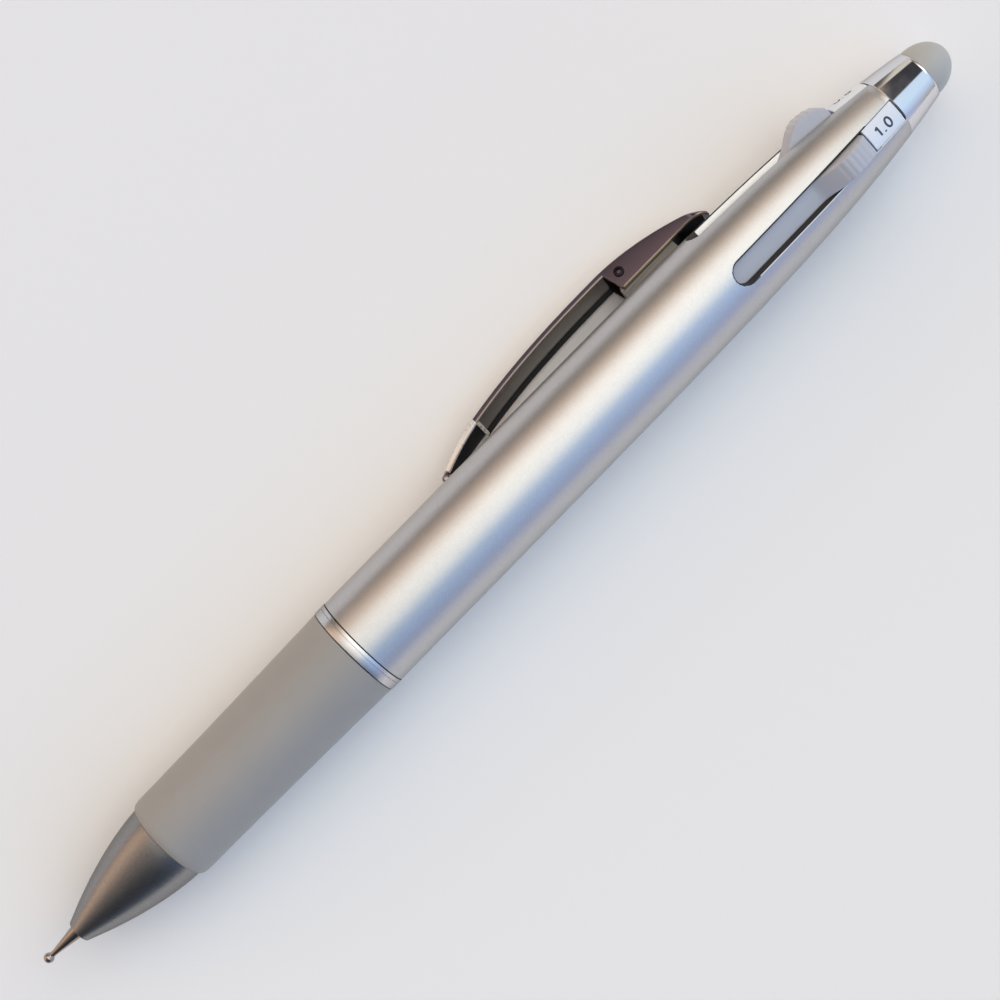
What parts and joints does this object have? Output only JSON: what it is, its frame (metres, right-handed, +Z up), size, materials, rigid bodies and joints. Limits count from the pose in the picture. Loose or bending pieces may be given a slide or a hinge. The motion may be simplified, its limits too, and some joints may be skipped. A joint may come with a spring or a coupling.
{
  "type": "multi-tip embossing stylus",
  "caption": "Retractable pen-shaped embossing stylus with ball tips on sliders, rubber grip, sprung clip and soft dome end.",
  "frame": {"origin": "on the pen's axis, at the middle of the seat that the collar and the straight part of the barrel make", "axes": "+X along the pen from the nose to the soft dome, +Z up, the first slider 16.5 degrees from +Z towards -Y, the clip 118.5 degrees from +Z towards +Y"},
  "size_m": [0.1447, 0.0163, 0.0137],
  "materials": {
    "silver_paint": "satin metallic paint with fine flake",
    "grip_rubber": "matt warm grey",
    "core_plastic": "satin blue-grey",
    "slider_plastic": "satin, slightly translucent blue-grey",
    "plate_plastic": "satin pale blue-white with a dark plain number",
    "cap_chrome": "polished",
    "clip_chrome": "polished, slightly dark",
    "pin_steel": "satin",
    "spring_steel": "drawn wire",
    "dome_rubber": "matt grey",
    "refill_plastic": "dark",
    "tip_steel": "turned and polished"
  },
  "bodies": {
    "pen_body": {"nose_cone": "silver_paint", "grip_sleeve": "grip_rubber", "front_barrel": "silver_paint", "barrel": "silver_paint", "slider_core": "core_plastic", "end_cap": "cap_chrome", "dome_tip": "dome_rubber", "clip_bracket": "clip_chrome", "clip_pin": "pin_steel", "clip_leaf_spring": "spring_steel", "size_plate_1": "plate_plastic", "size_plate_2": "plate_plastic", "size_plate_3": "plate_plastic", "size_plate_4": "plate_plastic", "return_spring_1": "spring_steel", "return_spring_2": "spring_steel", "return_spring_3": "spring_steel", "return_spring_4": "spring_steel"},
    "clip": {"clip_arm": "clip_chrome"},
    "slider_1": {"slider_1": "slider_plastic"},
    "refill_1": {"refill_tube_1": "refill_plastic", "embossing_tip_1": "tip_steel"},
    "slider_2": {"slider_2": "slider_plastic"},
    "refill_2": {"refill_tube_2": "refill_plastic", "embossing_tip_2": "tip_steel"},
    "slider_3": {"slider_3": "slider_plastic"},
    "refill_3": {"refill_tube_3": "refill_plastic", "embossing_tip_3": "tip_steel"},
    "slider_4": {"slider_4": "slider_plastic"},
    "refill_4": {"refill_tube_4": "refill_plastic", "embossing_tip_4": "tip_steel"}
  },
  "joints": [
    {"name": "slider_1_slide", "type": "slide", "parent": "pen_body", "child": "slider_1", "axis": [-0.997, 0.0218, -0.0738], "range_m": [0, 0.002], "stiffness_N_per_m": 60, "springref_m": -0.005, "deforming": ["return_spring_1"]},
    {"name": "refill_1_sway", "type": "hinge", "parent": "slider_1", "child": "refill_1", "pos_m": [0.01528, -0.00068, 0.0023], "axis": [0, -0.9588, -0.284], "range_deg": [0, 0.24952]},
    {"name": "slider_2_slide", "type": "slide", "parent": "pen_body", "child": "slider_2", "axis": [-0.997, -0.0738, -0.0218], "range_m": [0, 0.013], "stiffness_N_per_m": 60, "springref_m": -0.005, "deforming": ["return_spring_2"]},
    {"name": "refill_2_sway", "type": "hinge", "parent": "slider_2", "child": "refill_2", "pos_m": [0.01528, 0.0023, 0.00068], "axis": [0, -0.284, 0.9588], "range_deg": [0, 1.62]},
    {"name": "slider_3_slide", "type": "slide", "parent": "pen_body", "child": "slider_3", "axis": [-0.997, -0.0218, 0.0738], "range_m": [0, 0.002], "stiffness_N_per_m": 60, "springref_m": -0.005, "deforming": ["return_spring_3"]},
    {"name": "refill_3_sway", "type": "hinge", "parent": "slider_3", "child": "refill_3", "pos_m": [0.01528, 0.00068, -0.0023], "axis": [0, 0.9588, 0.284], "range_deg": [0, 0.24952]},
    {"name": "slider_4_slide", "type": "slide", "parent": "pen_body", "child": "slider_4", "axis": [-0.997, 0.0738, 0.0218], "range_m": [-0.013, 0], "deforming": ["return_spring_4"]},
    {"name": "refill_4_sway", "type": "hinge", "parent": "slider_4", "child": "refill_4", "pos_m": [0.00231, -0.00134, -0.0004], "axis": [0, 0.284, -0.9588], "range_deg": [-1.62, 0]},
    {"name": "clip_hinge", "type": "hinge", "parent": "pen_body", "child": "clip", "pos_m": [0.04177, 0.00766, -0.00416], "axis": [0, -0.4772, -0.8788], "range_deg": [0, 3], "stiffness_Nm_per_rad": 0.3, "springref_deg": -5.73, "deforming": ["clip_leaf_spring"]}
  ],
  "couplings": [
    {"joint": "refill_1_sway", "follows": "slider_1_slide", "rad_per_m": 2.1773},
    {"joint": "refill_2_sway", "follows": "slider_2_slide", "rad_per_m": 2.1773},
    {"joint": "refill_3_sway", "follows": "slider_3_slide", "rad_per_m": 2.1773},
    {"joint": "refill_4_sway", "follows": "slider_2_slide", "rad_per_m": -2.1773},
    {"joint": "slider_4_slide", "follows": "slider_2_slide", "ratio": -1}
  ]
}
